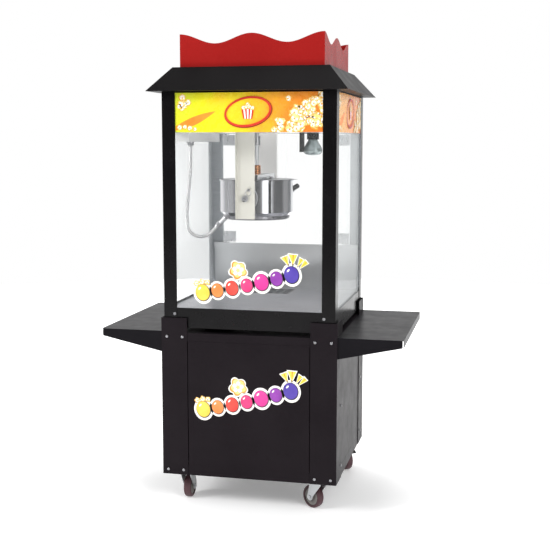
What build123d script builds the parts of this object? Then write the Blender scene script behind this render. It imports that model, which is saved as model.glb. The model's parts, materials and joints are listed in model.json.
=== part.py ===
from build123d import *
import os
from math import sin, cos, tan, radians, pi, sqrt

os.makedirs("parts", exist_ok=True)

# Popcorn cart: a glass popcorn machine standing on a wheeled base cart.
# Frame: origin on the floor under the middle of the cart, +X to the
# customer's right, -Y towards the customer, +Z up.  Millimetres.

# ---------------------------------------------------------------- dimensions
CART = 288.0            # half width of the square base cart
CART_Z0 = 101.7         # underside of the cart frame
CART_TOP = 573.5        # top of the upper rails and of the cart deck
POST_TOP = 622.0        # top of the cart's corner uprights
POST_FRONT = 86.0       # width of an upright's flange seen from the front
POST_SIDE = 100.0       # width of an upright's flange seen from the side
POST_T = 2.0
RAIL_D = 20.0           # rail tube, front to back
TOP_RAIL_Z = 546.5
LOW_RAIL_Z = 136.8
SHEET = 1.2

SHELF_X0, SHELF_X1 = 288.0, 494.5
SHELF_Y = 284.0
SHELF_TOP = 577.0
SHELF_ROOT_H, SHELF_TIP_H = 68.0, 23.0
SHELF_T = 1.5

CASE = 280.0            # half width of the square machine case
CASE_Z0 = 589.0
CASE_APRON = 654.0
CASE_TOP = 1341.0
ANGLE_W = 43.5          # corner angle of the case
ANGLE_T = 1.5
GLASS_T = 4.0
DECK_Z = 646.0

EAVE, EAVE_Z = 320.2, 1341.0
ROOF_TOP, ROOF_TOP_Z = 252.2, 1417.8
CROWN = 233.0
CROWN_MEAN, CROWN_AMP = 1506.0, 15.0

CEIL_Z = 1214.0         # underside of the ceiling pan

KX = -41.0              # kettle and drive axis
TILT_Z = 1000.0         # height of the kettle's tilting axis
POT_R, POT_RIM_Z, POT_Z0 = 123.0, 1058.0, 938.0
HANGER_Y = 150.0
TRUNNION_R = 8.0
SHAFT_R = 7.5
DOG_Z = 1172.5

LAMP_X, LAMP_Y = 149.0, 20.0
SOCKET = (-242.8, -100.0)
CONDUIT_R = 6.25

DOOR_PIVOT_X, DOOR_PIVOT_Y = 225.0, 274.0

WHEEL_R = 37.5
TRAIL = 28.0
# swivel position and the direction in which each wheel trails
CASTERS = {
    "fr": (224.0, -228.0, (-0.84, 0.5426)),
    "fl": (-224.0, -228.0, (0.0, 1.0)),
    "rr": (224.0, 228.0, (0.6, -0.8)),
    "rl": (-224.0, 228.0, (-0.28, 0.96)),
}


def plate(x0, x1, y0, y1, z0, z1, mode=Mode.ADD):
    """A flat rectangular piece between two corners, in the open part."""
    with Locations(((x0 + x1) / 2, (y0 + y1) / 2, (z0 + z1) / 2)):
        Box(x1 - x0, y1 - y0, z1 - z0, mode=mode)


def keep(builder, name):
    builder.part.label = name
    export_step(builder.part, "parts/" + name + ".step")


# ------------------------------------------------------------------ base cart
# Four folded corner uprights, standing above the deck as a fence around the
# machine's foot.
with BuildPart() as cart_corner_posts:
    with BuildSketch(Plane.XY.offset(CART_Z0)):
        with BuildLine():
            Polyline((CART, CART), (CART - POST_FRONT, CART), (CART - POST_FRONT, CART - POST_T),
                     (CART - POST_T, CART - POST_T), (CART - POST_T, CART - POST_SIDE),
                     (CART, CART - POST_SIDE), close=True)
        make_face()
        mirror(about=Plane.YZ)
        mirror(about=Plane.XZ)
    extrude(amount=POST_TOP - CART_Z0)
keep(cart_corner_posts, "cart_corner_posts")

# Upper and lower rings of rectangular tube behind the uprights' flanges; the
# rear pair carries the bores for the cabinet door's pivot pins.
DOOR_AXIS = (-190.0, 279.0)
rail_out = CART - POST_T
with BuildPart() as cart_rails:
    for z0, z1 in ((TOP_RAIL_Z, CART_TOP), (CART_Z0, LOW_RAIL_Z)):
        zc, h = (z0 + z1) / 2, z1 - z0
        with BuildSketch(Plane.YZ) as rail_x:
            with Locations((rail_out - RAIL_D / 2, zc), (-rail_out + RAIL_D / 2, zc)):
                Rectangle(RAIL_D, h)
                Rectangle(RAIL_D - 3.0, h - 3.0, mode=Mode.SUBTRACT)
        extrude(amount=rail_out, both=True)
        with BuildSketch(Plane.XZ) as rail_y:
            with Locations((rail_out - RAIL_D / 2, zc), (-rail_out + RAIL_D / 2, zc)):
                Rectangle(RAIL_D, h)
                Rectangle(RAIL_D - 3.0, h - 3.0, mode=Mode.SUBTRACT)
        extrude(amount=rail_out - RAIL_D - 0.5, both=True)
    with BuildSketch(Plane.XY.offset(TOP_RAIL_Z - 1.0)):
        with Locations(DOOR_AXIS):
            Circle(4.05)
    extrude(amount=8.0, mode=Mode.SUBTRACT)
    with BuildSketch(Plane.XY.offset(LOW_RAIL_Z - 7.0)):
        with Locations(DOOR_AXIS):
            Circle(4.05)
    extrude(amount=8.0, mode=Mode.SUBTRACT)
keep(cart_rails, "cart_rails")

# Side sheets behind the uprights' side flanges.
with BuildPart() as cart_side_panels:
    for sx in (-1, 1):
        with BuildSketch(Plane.YZ.offset(sx * (rail_out - SHEET / 2))):
            with Locations((0, (LOW_RAIL_Z + TOP_RAIL_Z) / 2)):
                Rectangle(530.0, TOP_RAIL_Z - LOW_RAIL_Z - 1.2)
        extrude(amount=SHEET / 2, both=True)
keep(cart_side_panels, "cart_side_panels")

# Fixed front sheet, folded back along its top and bottom edges.
PANEL_X = 199.5
with BuildPart() as cart_front_panel:
    with BuildSketch(Plane.YZ):
        with BuildLine():
            Polyline((-287.0, LOW_RAIL_Z), (-270.0, LOW_RAIL_Z), (-270.0, LOW_RAIL_Z + SHEET),
                     (-285.8, LOW_RAIL_Z + SHEET), (-285.8, TOP_RAIL_Z - SHEET),
                     (-270.0, TOP_RAIL_Z - SHEET), (-270.0, TOP_RAIL_Z), (-287.0, TOP_RAIL_Z),
                     close=True)
        make_face()
    extrude(amount=PANEL_X, both=True)
keep(cart_front_panel, "cart_front_panel")

# The deck that the machine stands on, and the cabinet floor.
inner = rail_out - RAIL_D
with BuildPart() as cart_deck_and_floor:
    with BuildSketch(Plane.XY.offset(CART_TOP - 2.0)):
        Rectangle(2 * inner, 2 * inner)
    extrude(amount=2.0)
    with BuildSketch(Plane.XY.offset(CART_Z0)):
        Rectangle(2 * inner, 2 * inner)
    extrude(amount=2.0)
keep(cart_deck_and_floor, "cart_deck_and_floor")

# Folded side trays, deep at the cart and shallow at the tip.
with BuildPart() as side_shelves:
    with BuildSketch(Plane.XZ):
        with BuildLine():
            Polyline((SHELF_X0, SHELF_TOP), (SHELF_X0, SHELF_TOP - SHELF_ROOT_H),
                     (SHELF_X1, SHELF_TOP - SHELF_TIP_H), (SHELF_X1, SHELF_TOP), close=True)
        make_face()
    extrude(amount=SHELF_Y, both=True)
    fillet(side_shelves.edges().filter_by(Axis.Z).group_by(Axis.X)[-1], 9.0)
    with BuildSketch(Plane.XY.offset(480.0)):
        with Locations(((SHELF_X0 + SHELF_X1) / 2, 0)):
            Rectangle(SHELF_X1 - SHELF_X0 - 2 * SHELF_T, 2 * SHELF_Y - 2 * SHELF_T)
    extrude(amount=SHELF_TOP - SHELF_T - 480.0, mode=Mode.SUBTRACT)
    mirror(about=Plane.YZ)
keep(side_shelves, "side_shelves")

# Domed screw heads on the frame.
with BuildPart() as frame_screws:
    head_r, head_h = 4.75, 2.6
    cart_pts = [(sx * x, z) for sx in (-1, 1) for x in (217.5, 269.5) for z in (118.0, 560.3)]
    for s in (1, -1):
        with BuildSketch(Plane.XZ.offset(s * CART)):
            with Locations(*cart_pts):
                Circle(head_r)
        extrude(amount=s * head_h)
        with BuildSketch(Plane.XZ.offset(s * CASE)):
            with Locations((-244.0, 634.5), (244.0, 634.5)):
                Circle(head_r)
        extrude(amount=s * head_h)
        with BuildSketch(Plane.YZ.offset(s * CART)):
            with Locations(*[(y, z) for y in (-204.0, 222.0) for z in (144.0, 342.0)]):
                Circle(head_r)
        extrude(amount=s * head_h)
    outer = [e for e in frame_screws.edges().filter_by(GeomType.CIRCLE)
             if max(abs(e.center().X), abs(e.center().Y)) - CART > 1.0
             or (abs(abs(e.center().X) - 244.0) < 1 and abs(e.center().Y) > CASE + 1.0)]
    fillet(outer, 1.6)
keep(frame_screws, "frame_screws")

# ------------------------------------------------------------------- casters
# Bolted top plates with the kingpin that the fork turns on.
with BuildPart() as caster_top_plates:
    pts = [(c[0], c[1]) for c in CASTERS.values()]
    with BuildSketch(Plane.XY.offset(CART_Z0 - 2.5)):
        with Locations(*pts):
            Rectangle(76.0, 70.0)
    extrude(amount=2.5)
    with BuildSketch(Plane.XY.offset(CART_Z0 - 2.5)):
        for p in pts:
            with Locations(*[(p[0] + dx, p[1] + dy) for dx in (-30, 30) for dy in (-27, 27)]):
                RegularPolygon(5.0, 6)
    extrude(amount=-3.0)
    with BuildSketch(Plane.XY.offset(93.0)):
        with Locations(*pts):
            Circle(20.0)
    extrude(amount=CART_Z0 - 2.5 - 93.0)
    with BuildSketch(Plane.XY.offset(84.9)):
        with Locations(*pts):
            Circle(5.0)
    extrude(amount=93.0 - 84.9)
    with BuildSketch(Plane.XY.offset(84.9)):
        with Locations(*pts):
            Circle(9.0)
    extrude(amount=3.5)
keep(caster_top_plates, "caster_top_plates")

LEG_IN, LEG_T = 15.3, 2.5
for key, (sx, sy, (tx, ty)) in CASTERS.items():
    upright = Plane(origin=(sx, sy, 0), x_dir=(tx, ty, 0), z_dir=(ty, -tx, 0))
    flat = Plane(origin=(sx, sy, 0), x_dir=(tx, ty, 0), z_dir=(0, 0, 1))
    braked = key in ("rr", "rl")

    # Fork: crown sheet with two legs, and the axle bolt as its own solid.
    with BuildPart() as caster_fork:
        with BuildSketch(flat.offset(88.7)):
            Circle(22.0)
            with Locations((6.0, 0)):
                Rectangle(48.0, 2 * (LEG_IN + LEG_T))
            Circle(5.05, mode=Mode.SUBTRACT)
        extrude(amount=4.0)
        with BuildSketch(upright.offset(LEG_IN), upright.offset(-LEG_IN - LEG_T)):
            with BuildLine():
                Polyline((-18.0, 92.7), (-18.0, 84.0), (TRAIL - 11.0, 38.0),
                         (TRAIL + 11.0, 38.0), (30.0 if not braked else 40.0, 76.0),
                         (30.0 if not braked else 42.0, 86.0), (30.0, 92.7), close=True)
            make_face()
            with Locations((TRAIL, WHEEL_R)):
                Circle(11.5)
                Circle(4.0, mode=Mode.SUBTRACT)
            if braked:
                with Locations((36.0, 81.0)):
                    Circle(3.0, mode=Mode.SUBTRACT)
        extrude(amount=LEG_T)
        with BuildSketch(upright):
            with Locations((TRAIL, WHEEL_R)):
                Circle(3.95)
        extrude(amount=LEG_IN + LEG_T + 3.2, both=True)
        with BuildSketch(upright.offset(LEG_IN + LEG_T + 0.05), upright.offset(-LEG_IN - LEG_T - 3.25)):
            with Locations((TRAIL, WHEEL_R)):
                RegularPolygon(7.0, 6)
        extrude(amount=3.2)
    keep(caster_fork, "caster_fork_" + key)

    # Wheel: moulded core and rubber tyre.
    with BuildPart() as caster_wheel:
        with BuildSketch(upright):
            with Locations((TRAIL, WHEEL_R)):
                Circle(28.0)
                Circle(4.0, mode=Mode.SUBTRACT)
        extrude(amount=9.0, both=True)
        with BuildSketch(upright):
            with Locations((TRAIL, WHEEL_R)):
                Circle(10.0)
                Circle(4.0, mode=Mode.SUBTRACT)
        extrude(amount=15.0, both=True)
        with BuildSketch(upright):
            with Locations((TRAIL, WHEEL_R)):
                Circle(WHEEL_R)
                Circle(28.05, mode=Mode.SUBTRACT)
        extrude(amount=12.0, both=True)
        fillet(caster_wheel.edges().filter_by(GeomType.CIRCLE)
               .filter_by(lambda e: abs(e.radius - WHEEL_R) < 0.01), 5.0)
    keep(caster_wheel, "caster_wheel_" + key)

    # Foot-operated brake lever between the legs of the rear casters.
    if braked:
        with BuildPart() as brake_pedal:
            with BuildSketch(upright):
                with BuildLine():
                    Polyline((36.0, 85.2), (60.0, 82.5), (80.0, 74.5), (78.6, 71.0),
                             (58.5, 78.5), (36.0, 80.0), close=True)
                make_face()
                with Locations((36.0, 81.0)):
                    Circle(4.5)
            extrude(amount=14.9, both=True)
            with BuildSketch(upright):
                with Locations((36.0, 81.0)):
                    Circle(2.95)
            extrude(amount=LEG_IN + LEG_T, both=True)
        keep(brake_pedal, "brake_pedal_" + key)

# -------------------------------------------------------------- machine case
g_out = CASE - ANGLE_T            # outer face of the sheets behind the angles
g_in = g_out - SHEET              # outer face of the glass
with BuildPart() as machine_base:
    with BuildSketch(Plane.XY.offset(CASE_Z0)):
        Rectangle(2 * g_out, 2 * g_out)
    extrude(amount=CASE_APRON - CASE_Z0)
    with BuildSketch(Plane.XY.offset(CASE_Z0 + SHEET)):
        Rectangle(2 * g_in, 2 * g_in)
    extrude(amount=CASE_APRON, mode=Mode.SUBTRACT)
    # the rear wall is lower: the sill panel stands on it
    plate(-g_in, g_in, g_in - 1.0, g_out + 1.0, DECK_Z - 1.0, CASE_APRON + 1.0, Mode.SUBTRACT)
    # opening for the drawer
    plate(-106.0, 42.0, g_in - 1.0, g_out + 1.0, CASE_Z0 + SHEET, 640.0, Mode.SUBTRACT)
    # ledge that the popcorn deck lies on
    plate(-g_in, g_in, -g_in, -g_in + 14.0, DECK_Z - SHEET, DECK_Z)
    plate(-g_in, -g_in + 14.0, -g_in, g_in, DECK_Z - SHEET, DECK_Z)
    plate(g_in - 14.0, g_in, -g_in, g_in, DECK_Z - SHEET, DECK_Z)
    # drawer guides
    plate(-108.0, -106.5, 110.0, g_in, CASE_Z0 + SHEET, 606.0)
    plate(42.5, 44.0, 110.0, g_in, CASE_Z0 + SHEET, 606.0)
keep(machine_base, "machine_base")

with BuildPart() as machine_feet:
    with BuildSketch(Plane.XY.offset(CART_TOP)):
        with Locations(*[(a * 236.0, b * 236.0) for a in (-1, 1) for b in (-1, 1)]):
            Circle(17.0)
    extrude(amount=CASE_Z0 - CART_TOP)
keep(machine_feet, "machine_feet")

with BuildPart() as machine_corner_posts:
    with BuildSketch(Plane.XY.offset(CASE_Z0)):
        with BuildLine():
            Polyline((CASE, CASE), (CASE - ANGLE_W, CASE), (CASE - ANGLE_W, g_out),
                     (g_out, g_out), (g_out, CASE - ANGLE_W), (CASE, CASE - ANGLE_W), close=True)
        make_face()
        mirror(about=Plane.YZ)
        mirror(about=Plane.XZ)
    extrude(amount=CASE_TOP - CASE_Z0)
keep(machine_corner_posts, "machine_corner_posts")

# Popcorn deck with a slotted sieve over the drawer.
with BuildPart() as popcorn_deck:
    with BuildSketch(Plane.XY.offset(DECK_Z)):
        Rectangle(2 * g_in, 2 * g_in)
        with Locations((-32.0, 200.0)):
            with GridLocations(27.0, 11.0, 5, 11):
                SlotOverall(22.0, 6.0, mode=Mode.SUBTRACT)
    extrude(amount=1.5)
keep(popcorn_deck, "popcorn_deck")

glass_z0 = DECK_Z + 1.5
with BuildPart() as case_glass:
    g2 = g_in - GLASS_T
    with BuildSketch(Plane.XZ.offset(g2)):
        with Locations((0, (glass_z0 + CASE_TOP - 0.5) / 2)):
            Rectangle(2 * (g2 - 0.3), CASE_TOP - 0.5 - glass_z0)
    extrude(amount=GLASS_T)
    for s in (-1, 1):
        with BuildSketch(Plane.YZ.offset(s * g2)):
            with Locations((-1.5, (glass_z0 + CASE_TOP - 0.5) / 2)):
                Rectangle(543.0, CASE_TOP - 0.5 - glass_z0)
        extrude(amount=s * GLASS_T)
keep(case_glass, "case_glass")

# Sill below the rear doors, with a folded lip.
SILL_TOP = 814.0
with BuildPart() as rear_sill_panel:
    with BuildSketch(Plane.YZ):
        with BuildLine():
            Polyline((g_in, DECK_Z - 1.0), (g_out, DECK_Z - 1.0), (g_out, SILL_TOP), (266.0, SILL_TOP),
                     (266.0, 794.0), (267.2, 794.0), (267.2, SILL_TOP - SHEET),
                     (g_in, SILL_TOP - SHEET), close=True)
        make_face()
    extrude(amount=269.5, both=True)
keep(rear_sill_panel, "rear_sill_panel")

# Rear header with three rocker switches.
SWITCH_X = (60.0, 110.0, 160.0)
SWITCH_Z, SWITCH_Y = 1277.0, 272.0
HEAD_Z0 = 1213.0
with BuildPart() as control_panel:
    with BuildSketch(Plane.YZ):
        with BuildLine():
            Polyline((g_out, HEAD_Z0), (g_out, CASE_TOP), (g_in, CASE_TOP), (g_in, HEAD_Z0 + SHEET),
                     (262.0, HEAD_Z0 + SHEET), (262.0, HEAD_Z0), close=True)
        make_face()
    extrude(amount=269.5, both=True)
    # housings of the switches, behind the sheet, and their bezels
    for x in SWITCH_X:
        plate(x - 12.0, x + 12.0, 263.0, g_in, SWITCH_Z - 18.0, SWITCH_Z + 18.0)
        plate(x - 13.0, x + 13.0, g_out, g_out + 1.5, SWITCH_Z - 19.0, SWITCH_Z + 19.0)
        plate(x - 10.0, x + 10.0, 264.5, g_out + 3.0, SWITCH_Z - 16.0, SWITCH_Z + 16.0, Mode.SUBTRACT)
    with BuildSketch(Plane.YZ.offset(SWITCH_X[0] - 15.0)):
        with Locations((SWITCH_Y, SWITCH_Z)):
            Circle(2.05)
    extrude(amount=SWITCH_X[2] - SWITCH_X[0] + 30.0, mode=Mode.SUBTRACT)
keep(control_panel, "control_panel")

for x, name in zip(SWITCH_X, ("rocker_heat", "rocker_stir", "rocker_light")):
    with BuildPart() as rocker:
        with BuildSketch(Plane.YZ.offset(x)):
            with BuildLine():
                Polyline((SWITCH_Y + 4.0, SWITCH_Z - 14.8), (SWITCH_Y + 12.5, SWITCH_Z - 9.0),
                         (SWITCH_Y + 9.5, SWITCH_Z), (SWITCH_Y + 12.5, SWITCH_Z + 9.0),
                         (SWITCH_Y + 4.0, SWITCH_Z + 14.8), (SWITCH_Y - 4.0, SWITCH_Z + 9.0),
                         (SWITCH_Y - 4.0, SWITCH_Z - 9.0), close=True)
            make_face()
        extrude(amount=9.7, both=True)
        with BuildSketch(Plane.YZ.offset(x)):
            with Locations((SWITCH_Y, SWITCH_Z)):
                Circle(2.0)
        extrude(amount=11.6, both=True)
    keep(rocker, name)

# Pivot pins of the two glass doors, on plates at the sill and the header.
DOOR_Z0, DOOR_Z1 = 818.0, 1209.0
with BuildPart() as door_pivot_brackets:
    for sx in (-1, 1):
        px = sx * DOOR_PIVOT_X
        plate(px - 13.0, px + 13.0, 266.5, 278.3, SILL_TOP, SILL_TOP + 2.0)
        plate(px - 13.0, px + 13.0, 266.5, 278.3, HEAD_Z0 - 2.0, HEAD_Z0)
    with BuildSketch(Plane.XY.offset(SILL_TOP + 2.0)):
        with Locations((-DOOR_PIVOT_X, DOOR_PIVOT_Y), (DOOR_PIVOT_X, DOOR_PIVOT_Y)):
            Circle(3.0)
    extrude(amount=14.0)
    with BuildSketch(Plane.XY.offset(HEAD_Z0 - 2.0)):
        with Locations((-DOOR_PIVOT_X, DOOR_PIVOT_Y), (DOOR_PIVOT_X, DOOR_PIVOT_Y)):
            Circle(3.0)
    extrude(amount=-14.0)
keep(door_pivot_brackets, "door_pivot_brackets")

NOTCH_W, NOTCH_H = 22.0, 18.0
for sx, side in ((-1, "left"), (1, "right")):
    x_out, x_in = sx * 234.5, sx * 1.5
    xa, xb = min(x_out, x_in), max(x_out, x_in)
    xn = sx * (234.5 - NOTCH_W)
    na, nb = min(x_out + sx, xn), max(x_out + sx, xn)
    # Tempered glass leaf, notched at the two pivot corners.
    with BuildPart() as rear_door:
        plate(xa, xb, 271.5, 276.5, DOOR_Z0 + 0.5, DOOR_Z1 - 0.5)
        plate(na, nb, 270.0, 278.0, DOOR_Z0 - 1.0, DOOR_Z0 + NOTCH_H, Mode.SUBTRACT)
        plate(na, nb, 270.0, 278.0, DOOR_Z1 - NOTCH_H, DOOR_Z1 + 1.0, Mode.SUBTRACT)
    keep(rear_door, "rear_door_" + side)

    # Clamps that ride on the pivot pins, and the pull knob with its backing.
    ca, cb = min(sx * 235.0, sx * 189.0), max(sx * 235.0, sx * 189.0)
    with BuildPart() as fittings:
        for z0, z1, n0, n1 in ((DOOR_Z0, DOOR_Z0 + 38.0, DOOR_Z0 + NOTCH_H, DOOR_Z0 + 39.0),
                               (DOOR_Z1 - 38.0, DOOR_Z1, DOOR_Z1 - 39.0, DOOR_Z1 - NOTCH_H)):
            plate(ca, cb, 268.0, 280.0, z0, z1)
            plate(ca - 1.0, cb + 1.0, 271.5, 276.5, n0, n1, Mode.SUBTRACT)
        plate(min(xn, sx * 188.0), max(xn, sx * 188.0), 271.5, 276.5, DOOR_Z0 - 1.0, DOOR_Z0 + 39.0, Mode.SUBTRACT)
        plate(min(xn, sx * 188.0), max(xn, sx * 188.0), 271.5, 276.5, DOOR_Z1 - 39.0, DOOR_Z1 + 1.0, Mode.SUBTRACT)
        with BuildSketch(Plane.XY.offset(DOOR_Z0 - 1.0)):
            with Locations((sx * DOOR_PIVOT_X, DOOR_PIVOT_Y)):
                Circle(3.05)
        extrude(amount=14.0, mode=Mode.SUBTRACT)
        with BuildSketch(Plane.XY.offset(DOOR_Z1 - 13.0)):
            with Locations((sx * DOOR_PIVOT_X, DOOR_PIVOT_Y)):
                Circle(3.05)
        extrude(amount=14.0, mode=Mode.SUBTRACT)
        with BuildSketch(Plane.XZ.offset(-276.5)):
            with Locations((sx * 24.0, 1010.0)):
                Circle(9.0)
        extrude(amount=-18.0)
        with BuildSketch(Plane.XZ.offset(-268.5)):
            with Locations((sx * 24.0, 1010.0)):
                Circle(7.0)
        extrude(amount=-3.0)
    keep(fittings, "rear_door_" + side + "_fittings")

# Shallow pan that closes the chamber and carries the drive.
with BuildPart() as ceiling_pan:
    cp = g2
    with BuildSketch(Plane.XY.offset(CEIL_Z)):
        with Locations((0, (262.0 - cp) / 2)):
            Rectangle(2 * cp, 262.0 + cp)
    extrude(amount=CASE_TOP - CEIL_Z)
    with BuildSketch(Plane.XY.offset(CEIL_Z + SHEET)):
        with Locations((0, (262.0 - cp) / 2)):
            Rectangle(2 * cp - 2 * SHEET, 262.0 + cp - 2 * SHEET)
    extrude(amount=CASE_TOP, mode=Mode.SUBTRACT)
    with BuildSketch(Plane.XY.offset(CEIL_Z - 1.0)):
        with Locations((KX, 0)):
            Circle(10.0)
        with Locations((LAMP_X, LAMP_Y)):
            Circle(20.5)
    extrude(amount=4.0, mode=Mode.SUBTRACT)
keep(ceiling_pan, "ceiling_pan")

# Hipped roof of thin sheet with a flat soffit and a lip over the glass.
with BuildPart() as roof_shell:
    with BuildSketch(Plane.XY.offset(EAVE_Z)):
        Rectangle(2 * EAVE, 2 * EAVE)
    with BuildSketch(Plane.XY.offset(ROOF_TOP_Z)):
        Rectangle(2 * ROOF_TOP, 2 * ROOF_TOP)
    loft()
    with BuildSketch(Plane.XY.offset(EAVE_Z + SHEET)):
        Rectangle(2 * (EAVE - 2.8), 2 * (EAVE - 2.8))
    with BuildSketch(Plane.XY.offset(ROOF_TOP_Z - SHEET)):
        Rectangle(2 * (ROOF_TOP - 0.7), 2 * (ROOF_TOP - 0.7))
    loft(mode=Mode.SUBTRACT)
    with BuildSketch(Plane.XY.offset(EAVE_Z - 1.0)):
        Rectangle(510.0, 510.0)
    extrude(amount=3.0, mode=Mode.SUBTRACT)
    with BuildSketch(Plane.XY.offset(EAVE_Z)):
        Rectangle(2 * g_out, 2 * g_out)
        with Locations((0, -3.0)):
            Rectangle(2 * g_in, 2 * g_in + 6.0 - 2 * 0.0, mode=Mode.SUBTRACT)
        with Locations((0, g_in)):
            Rectangle(2 * g_out + 4.0, 8.0, mode=Mode.SUBTRACT)
        with Locations((0, -(g_in + g_out) / 2)):
            Rectangle(2 * g_out, SHEET)
    extrude(amount=-4.5)
keep(roof_shell, "roof_shell")

# Crown: four sheets with a waved top edge, folded inwards along the foot.
def wave(u):
    return CROWN_MEAN + CROWN_AMP * cos(2 * pi * u / CROWN)


n_wave = 32
with BuildPart() as crown_panels:
    for plane, half, far in ((Plane.XZ.offset(CROWN - 1.5), CROWN, 1), (Plane.XZ.offset(-CROWN), CROWN, 1),
                             (Plane.YZ.offset(CROWN - 1.5), CROWN - 1.8, 1), (Plane.YZ.offset(-CROWN), CROWN - 1.8, 1)):
        with BuildSketch(plane):
            with BuildLine():
                top = [(-half + 2 * half * i / n_wave, wave(-half + 2 * half * i / n_wave))
                       for i in range(n_wave + 1)]
                Spline(*top)
                Polyline(top[0], (-half, ROOF_TOP_Z), (half, ROOF_TOP_Z), top[-1])
            make_face()
        extrude(amount=1.5)
    for s in (-1, 1):
        plate(-205.0, 205.0, min(s * 219.0, s * 231.5), max(s * 219.0, s * 231.5), ROOF_TOP_Z, ROOF_TOP_Z + 1.5)
        plate(min(s * 219.0, s * 231.5), max(s * 219.0, s * 231.5), -205.0, 205.0, ROOF_TOP_Z, ROOF_TOP_Z + 1.5)
keep(crown_panels, "crown_panels")

# --------------------------------------------------------- fixed inner works
HANGER_Z0 = 933.0
PIN_X, PIN_Z = -28.0, 1029.0
with BuildPart() as hanger_front:
    plate(-72.0, -10.0, -HANGER_Y - 1.5, -HANGER_Y, HANGER_Z0, CEIL_Z)
    plate(-72.0, -70.5, -HANGER_Y - 14.0, -HANGER_Y, HANGER_Z0, CEIL_Z)
    plate(-72.0, -10.0, -HANGER_Y - 1.5, -HANGER_Y + 20.0, CEIL_Z - 1.5, CEIL_Z)
    with BuildSketch(Plane.XZ.offset(HANGER_Y - 4.0)):
        with Locations((KX, TILT_Z)):
            Circle(14.0)
    extrude(amount=12.0)
    with BuildSketch(Plane.XZ.offset(HANGER_Y)):
        with Locations((PIN_X, PIN_Z)):
            Circle(6.5)
    extrude(amount=10.0)
    with BuildSketch(Plane.XZ.offset(HANGER_Y - 6.0)):
        with Locations((KX, TILT_Z)):
            Circle(TRUNNION_R + 0.05)
        with Locations((PIN_X, PIN_Z)):
            Circle(3.05)
    extrude(amount=20.0, mode=Mode.SUBTRACT)
keep(hanger_front, "hanger_front")

with BuildPart() as hanger_rear:
    plate(-76.5, -5.5, HANGER_Y, HANGER_Y + 1.5, HANGER_Z0, CEIL_Z)
    plate(-76.5, -75.0, HANGER_Y, HANGER_Y + 14.0, HANGER_Z0, CEIL_Z)
    plate(-7.0, -5.5, HANGER_Y, HANGER_Y + 14.0, HANGER_Z0, CEIL_Z)
    plate(-76.5, -5.5, HANGER_Y - 20.0, HANGER_Y + 1.5, CEIL_Z - 1.5, CEIL_Z)
    with BuildSketch(Plane.XZ.offset(-HANGER_Y - 8.0)):
        with Locations((KX, TILT_Z)):
            Circle(14.0)
    extrude(amount=12.0)
    with BuildSketch(Plane.XZ.offset(-HANGER_Y - 14.0)):
        with Locations((KX, TILT_Z)):
            Circle(TRUNNION_R + 0.05)
    extrude(amount=20.0, mode=Mode.SUBTRACT)
keep(hanger_rear, "hanger_rear")

# Spring plunger with its pull ring, on the front hanger.
with BuildPart() as lock_pin:
    with BuildSketch(Plane.XZ.offset(143.5)):
        with Locations((PIN_X, PIN_Z)):
            Circle(3.0)
    extrude(amount=28.5)
    with BuildSketch(Plane.XZ.offset(160.3)):
        with Locations((PIN_X, PIN_Z)):
            Circle(5.0)
    extrude(amount=3.0)
    with BuildSketch(Plane.YZ.offset(PIN_X)):
        with Locations((-168.5, PIN_Z)):
            Circle(1.7)
    extrude(amount=6.0, both=True, mode=Mode.SUBTRACT)
    with BuildSketch(Plane.YZ.offset(PIN_X)):
        with Locations((-168.5, PIN_Z)):
            Circle(1.2)
    revolve(axis=Axis((PIN_X, -168.5, PIN_Z - 9.5), (0, 1, 0)))
keep(lock_pin, "lock_pin")

with BuildPart() as gear_motor:
    plate(KX - 40.0, KX + 40.0, -30.0, 30.0, CEIL_Z + SHEET, 1256.0)
    with BuildSketch(Plane.XY.offset(1256.0)):
        with Locations((KX + 8.0, 0)):
            Circle(28.0)
    extrude(amount=76.0)
    with BuildSketch(Plane.XY.offset(CEIL_Z)):
        with Locations((KX, 0)):
            Circle(SHAFT_R + 0.05)
    extrude(amount=26.0, mode=Mode.SUBTRACT)
keep(gear_motor, "gear_motor")

# Drive shaft with a slotted dog that takes the stirrer's tongue.
with BuildPart() as drive_shaft:
    with BuildSketch(Plane.XY.offset(DOG_Z)):
        with Locations((KX, 0)):
            Circle(13.0)
    extrude(amount=1205.0 - DOG_Z)
    with BuildSketch(Plane.XY.offset(1205.0)):
        with Locations((KX, 0)):
            Circle(SHAFT_R)
    extrude(amount=34.0)
    plate(KX - 14.0, KX + 14.0, -2.2, 2.2, DOG_Z - 1.0, 1186.0, Mode.SUBTRACT)
keep(drive_shaft, "drive_shaft")

with BuildPart() as wiring_duct:
    plate(-g2, -222.0, -180.0, 180.0, 1184.0, CEIL_Z)
    plate(-g2 + SHEET, -222.0 - SHEET, -180.0 + SHEET, 180.0 - SHEET, 1184.0 + SHEET, CEIL_Z + 1.0, Mode.SUBTRACT)
keep(wiring_duct, "wiring_duct")

with BuildPart() as conduit_socket:
    with BuildSketch(Plane.XY.offset(1184.0)):
        with Locations(SOCKET):
            Circle(13.5)
    extrude(amount=-3.0)
    with BuildSketch(Plane.XY.offset(1181.0)):
        with Locations(SOCKET):
            RegularPolygon(11.5, 6)
    extrude(amount=-9.0)
keep(conduit_socket, "conduit_socket")

# Reflector lamp, its holder and the sheet that shades it from the kettle.
with BuildPart() as heat_lamp:
    with BuildSketch(Plane(origin=(LAMP_X, LAMP_Y, 0), x_dir=(1, 0, 0), z_dir=(0, -1, 0))):
        with BuildLine():
            Polyline((0, 1138.0), (18.0, 1139.5), (26.0, 1142.5), (30.3, 1148.0), (31.5, 1155.0),
                     (30.0, 1164.0), (24.0, 1177.0), (17.0, 1187.0), (14.5, 1194.0), (13.5, 1200.0),
                     (13.5, 1222.0), (0, 1222.0), close=True)
        make_face()
    revolve(axis=Axis((LAMP_X, LAMP_Y, 0), (0, 0, 1)))
keep(heat_lamp, "heat_lamp")

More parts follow.
